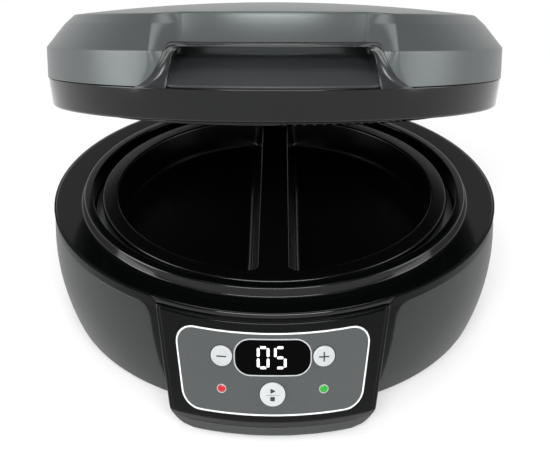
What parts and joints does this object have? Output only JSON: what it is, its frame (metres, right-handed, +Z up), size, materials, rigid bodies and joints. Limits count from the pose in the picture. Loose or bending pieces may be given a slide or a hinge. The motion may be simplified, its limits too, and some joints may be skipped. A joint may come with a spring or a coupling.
{
  "type": "electric omelette maker",
  "caption": "Round countertop cooker with a hinged domed lid, a non-stick plate with half-moon wells, a finger pocket in the lid and a timer panel on the front",
  "frame": {"origin": "centre of the footprint, on the table under the middle of the cooking drum", "axes": "+Z up, -Y towards the control panel, +Y towards the hinge, X to the sides"},
  "size_m": [0.2538, 0.285, 0.1934],
  "materials": {
    "gloss_black": "glossy injection-moulded black plastic",
    "cover_graphite": "graphite plastic with a soft gloss",
    "crown_gunmetal": "gunmetal satin lacquer over moulded plastic",
    "pocket_grey": "fine-grained charcoal plastic",
    "hinge_black": "fine-grained black plastic",
    "non_stick": "die-cast aluminium with a black non-stick coat",
    "heater_steel": "bent stainless tube, heat-darkened",
    "plated_steel": "zinc-plated pressed steel",
    "aluminised_sheet": "aluminised sheet, pressed",
    "sensor_can": "drawn aluminium can",
    "overlay_film": "printed polycarbonate film, fine grain",
    "white_rib": "bright white moulded rib",
    "key_silver": "pearl white moulded key caps",
    "smoked_window": "smoked polycarbonate lens",
    "display_case": "moulded digit block",
    "red_lens": "red light pipe",
    "green_lens": "green light pipe",
    "board_laminate": "solder-masked circuit laminate",
    "component_black": "moulded component bodies",
    "plunger_nylon": "natural nylon",
    "ribbon_grey": "flat insulated ribbon",
    "rubber_black": "moulded rubber"
  },
  "bodies": {
    "base": {"base_rim": "gloss_black", "pod_frame": "gloss_black", "control_fascia": "gloss_black", "side_cover_left": "cover_graphite", "side_cover_right": "cover_graphite", "hinge_housing": "hinge_black", "bottom_cover": "hinge_black", "lower_plate": "non_stick", "lower_heater": "heater_steel", "lower_clamps": "plated_steel", "lower_standoffs": "plated_steel", "lower_plate_screws": "plated_steel", "bottom_screws": "plated_steel", "control_board_screws": "plated_steel", "power_board_screws": "plated_steel", "hinge_pin": "plated_steel", "lower_heat_shield": "aluminised_sheet", "temperature_sensor": "sensor_can", "thermal_fuse": "sensor_can", "panel_overlay": "overlay_film", "panel_bezel": "white_rib", "display_bezel": "white_rib", "display_window": "smoked_window", "display_module": "display_case", "power_lamp": "red_lens", "ready_lamp": "green_lens", "control_board": "board_laminate", "power_board": "board_laminate", "tact_switches": "component_black", "power_relay": "component_black", "ribbon_cable": "ribbon_grey", "rubber_feet": "rubber_black", "cord_gland": "rubber_black"},
    "lid": {"lid_crown": "crown_gunmetal", "handle_trim": "crown_gunmetal", "handle_pocket": "pocket_grey", "lid_band": "gloss_black", "lid_screws": "plated_steel", "upper_plate": "non_stick", "upper_heater": "heater_steel", "upper_clamps": "plated_steel", "upper_heat_shield": "aluminised_sheet", "upper_standoffs": "plated_steel", "upper_plate_screws": "plated_steel", "lid_hinge_arm": "hinge_black", "hinge_bushes": "plunger_nylon", "hinge_arm_screws": "plated_steel"},
    "minus_key": {"minus_button": "key_silver", "minus_plunger": "plunger_nylon"},
    "plus_key": {"plus_button": "key_silver", "plus_plunger": "plunger_nylon"},
    "start_key": {"start_button": "key_silver", "start_plunger": "plunger_nylon"}
  },
  "joints": [
    {"name": "lid_hinge", "type": "hinge", "parent": "base", "child": "lid", "pos_m": [0, 0.133, 0.066], "axis": [-1, 0, 0], "range_deg": [-19.3, 75.7]},
    {"name": "minus_press", "type": "slide", "parent": "base", "child": "minus_key", "axis": [0, 0.9525, -0.3047], "range_m": [0, 0.0008], "stiffness_N_per_m": 800, "springref_m": -0.001},
    {"name": "plus_press", "type": "slide", "parent": "base", "child": "plus_key", "axis": [0, 0.9525, -0.3047], "range_m": [0, 0.0008], "stiffness_N_per_m": 800, "springref_m": -0.001},
    {"name": "start_press", "type": "slide", "parent": "base", "child": "start_key", "axis": [0, 0.9525, -0.3047], "range_m": [0, 0.0008], "stiffness_N_per_m": 800, "springref_m": -0.001}
  ]
}
